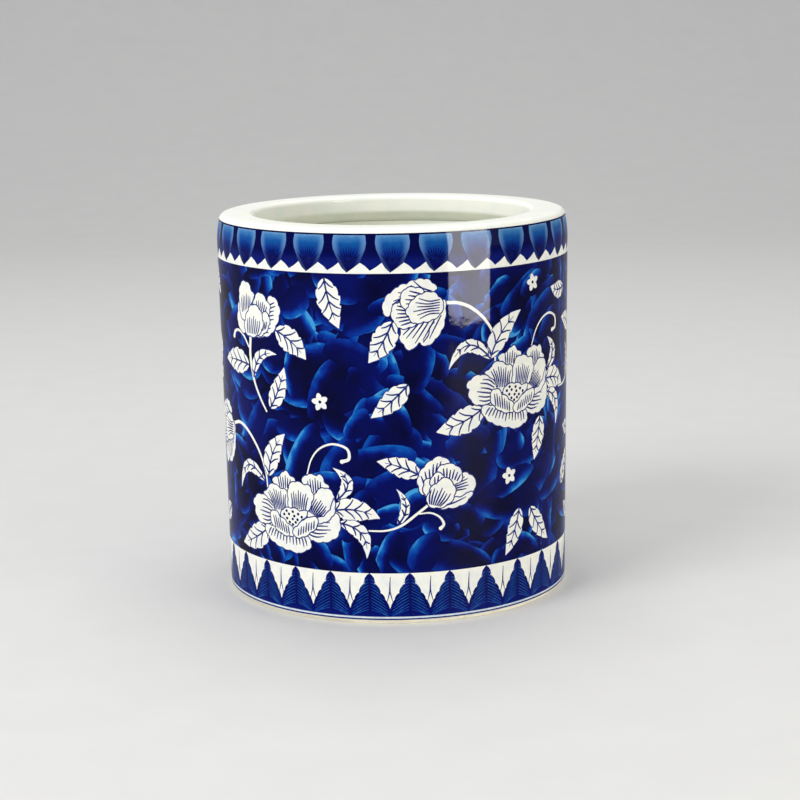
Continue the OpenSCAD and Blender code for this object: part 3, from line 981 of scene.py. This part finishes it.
def bare_clay():
    """Fired unglazed porcelain, matt and finely grained, darker where it has stood."""
    s = Shader("bare_clay")
    grain = s.noise(3.2, 6.0)
    worn = s.fade(s.noise(0.25, 3.0), 0.45, 0.75, 0.0, 0.5)
    colour = s.mix(grain, tone(254, 250, 234), tone(244, 238, 218))
    colour = s.mix(worn, colour, tone(226, 216, 190))
    s.links.new(colour, s.surface.inputs["Base Color"])
    s.links.new(s.fade(grain, 0.3, 0.7, 0.55, 0.8), s.surface.inputs["Roughness"])
    bump = s.node("ShaderNodeBump", 0, {"Height": grain, "Strength": 0.4, "Distance": 0.05 * MM})
    s.links.new(bump, s.surface.inputs["Normal"])
    return s.material


# ---- the pot

def print_materials():
    """By piece name's beginning: the materials for white, line and dot ink, and the record's slot."""
    white = white_ink()
    line = line_ink("blue_line", tone(12, 22, 92), tone(42, 62, 140))
    dot = line_ink("dark_dot", tone(4, 8, 56), tone(12, 24, 90))
    feather = line_ink("feather", tone(3, 6, 66), tone(8, 26, 104))
    herring = line_ink("herringbone", tone(10, 60, 140), tone(32, 92, 166))
    foot_blue = line_ink("foot_blue", tone(196, 212, 226), tone(222, 228, 226))
    dark = border_dark()
    return {
        GROUND: ([cobalt_ground()], "cobalt_print"),
        "upper_border_ground": ([dark], "border_print"),
        "upper_border_petals": ([border_petal(), feather], "border_print"),
        "upper_border_zigzag": ([white], "border_print"),
        "lower_border_leaves": ([leaf_band(), herring, feather], "border_print"),
        "lower_border_white": ([white, line], "border_print"),
        "foot_line": ([foot_blue], "border_print"),
        "": ([white, line, dot], "white_print"),
    }


def decorate():
    """Draws the whole print, cuts it and makes its pieces."""
    drawing = Drawing()
    brush_ground(drawing)
    for number, turn in ((1, 0), (2, 180)):
        flower_field(drawing, number, turn)
    upper_border(drawing)
    lower_border(drawing)
    points, pieces = drawing.cut()
    materials = print_materials()
    for name in sorted(pieces):
        inks, slot = next(materials[key] for key in materials if name.startswith(key))
        piece = print_piece(name, points, pieces[name], inks)
        if name.startswith("upper_border"):
            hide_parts("upper_border")
        elif name.startswith("lower_border") or name == "foot_line":
            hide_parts("lower_border")
        else:
            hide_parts("floral_field")


def throw_pot():
    """The turned pieces: the lip, the inside glaze and the foot. The wall and floor stay as CAD meshes."""
    clay = bare_clay()
    white = lip_glaze("lip_glaze")
    lip = lathe("lip", lip_profile())
    lip.data.materials.append(white)
    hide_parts("mouth_ring")
    liner = lathe("inside_glaze", liner_profile(), 192)
    # Painted light: the inside gets the lip's white glaze painted brighter, which lifts the shade inside
    # the mouth.
    liner.data.materials.append(lip_glaze("inside_glaze", (253, 252, 240)))
    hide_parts("liner_glaze")
    foot = lathe("foot", foot_profile())
    foot.data.materials.append(clay)
    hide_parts("foot_ring")
    for node, material in (("wall", clay), ("floor_disc", white)):
        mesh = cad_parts[node].data
        mesh.materials.clear()
        mesh.materials.append(material)


# ---- camera, floor and light

def set_camera():
    """The photograph's view: a long lens a little above the pot, with a slight roll."""
    place = Vector((0, -632.4, 184.3)) * MM
    pitch, yaw, roll = math.radians(11.31), math.radians(0.14), math.radians(-0.97)
    ahead = Vector((math.sin(yaw) * math.cos(pitch), math.cos(yaw) * math.cos(pitch), -math.sin(pitch)))
    right = Vector((math.cos(yaw), -math.sin(yaw), 0))
    up = right.cross(ahead)
    tilted_right = right * math.cos(roll) + up * math.sin(roll)
    tilted_up = up * math.cos(roll) - right * math.sin(roll)
    lens = bpy.data.cameras.new("camera")
    lens.lens = 90.7
    lens.sensor_width = 36
    lens.clip_start = 0.01
    camera = bpy.data.objects.new("camera", lens)
    bpy.context.scene.collection.objects.link(camera)
    camera.rotation_mode = "QUATERNION"
    turned = [list(row) for row in zip(tilted_right, tilted_up, -ahead)]
    camera.rotation_quaternion = Matrix(turned).to_quaternion()
    camera.location = place
    bpy.context.scene.camera = camera


def lay_floor():
    """A plain pale sheet: flat under the pot, then curving up well behind it."""
    half_width, front, bend, radius, top, bend_steps = 4.0, -3.0, 0.9, 1.2, 4.0, 32
    profile = [(front, 0.0), (bend, 0.0)]
    for k in range(1, bend_steps + 1):
        turn = math.pi / 2 * k / bend_steps
        profile.append((bend + radius * math.sin(turn), radius * (1 - math.cos(turn))))
    profile.append((bend + radius, top))
    points = [(x, y, z) for y, z in profile for x in (-half_width, half_width)]
    faces = [(2 * k, 2 * k + 1, 2 * k + 3, 2 * k + 2) for k in range(len(profile) - 1)]
    mesh = bpy.data.meshes.new("studio_floor")
    mesh.from_pydata(points, [], faces)
    mesh.shade_smooth()
    floor = bpy.data.objects.new("studio_floor", mesh)
    bpy.context.scene.collection.objects.link(floor)
    s = Shader("studio_floor")
    paper = s.mix(s.noise(0.05), tone(214, 213, 210), tone(208, 207, 205))
    s.links.new(paper, s.surface.inputs["Base Color"])
    s.surface.inputs["Roughness"].default_value = 0.7
    mesh.materials.append(s.material)


def softbox(name, place, target, size, power, tint=(1, 1, 1)):
    """A rectangular lamp at a place in metres, aimed at a target."""
    lamp = bpy.data.lights.new(name, "AREA")
    lamp.shape = "RECTANGLE"
    lamp.size, lamp.size_y = size
    lamp.energy = power
    lamp.color = tint
    light = bpy.data.objects.new(name, lamp)
    bpy.context.scene.collection.objects.link(light)
    light.visible_camera = False
    light.location = place
    light.rotation_mode = "QUATERNION"
    light.rotation_quaternion = (Vector(target) - Vector(place)).to_track_quat("-Z", "Y")
    return light


def light_studio():
    """Soft light from the left and above, a tall narrow window-like box at the right, and a dim room."""
    middle = (0, 0, 0.06)
    softbox("key", (-0.8, -0.7, 0.8), middle, (0.6, 0.6), 9.5)
    softbox("top", (0.05, 0.3, 1.1), middle, (0.8, 0.8), 5)
    beside = (0, -0.02, 0.16)
    window = softbox("window", (0.37, -0.34, 0.16), beside, (0.25, 0.3), 12, tint=(1.0, 0.97, 0.9))
    window.visible_diffuse = False
    softbox("fill", (0.9, -0.5, 0.35), middle, (0.5, 0.5), 1.2, tint=(1.0, 0.9, 0.66))
    world = bpy.data.worlds.new("room")
    bpy.context.scene.world = world
    world.use_nodes = True
    background = world.node_tree.nodes["Background"]
    background.inputs["Color"].default_value = (0.94, 0.96, 1.0, 1.0)
    background.inputs["Strength"].default_value = 0.62
    bpy.context.scene.view_settings.view_transform = "Standard"


decorate()
throw_pot()
set_camera()
lay_floor()
light_studio()

bpy.context.view_layer.update()
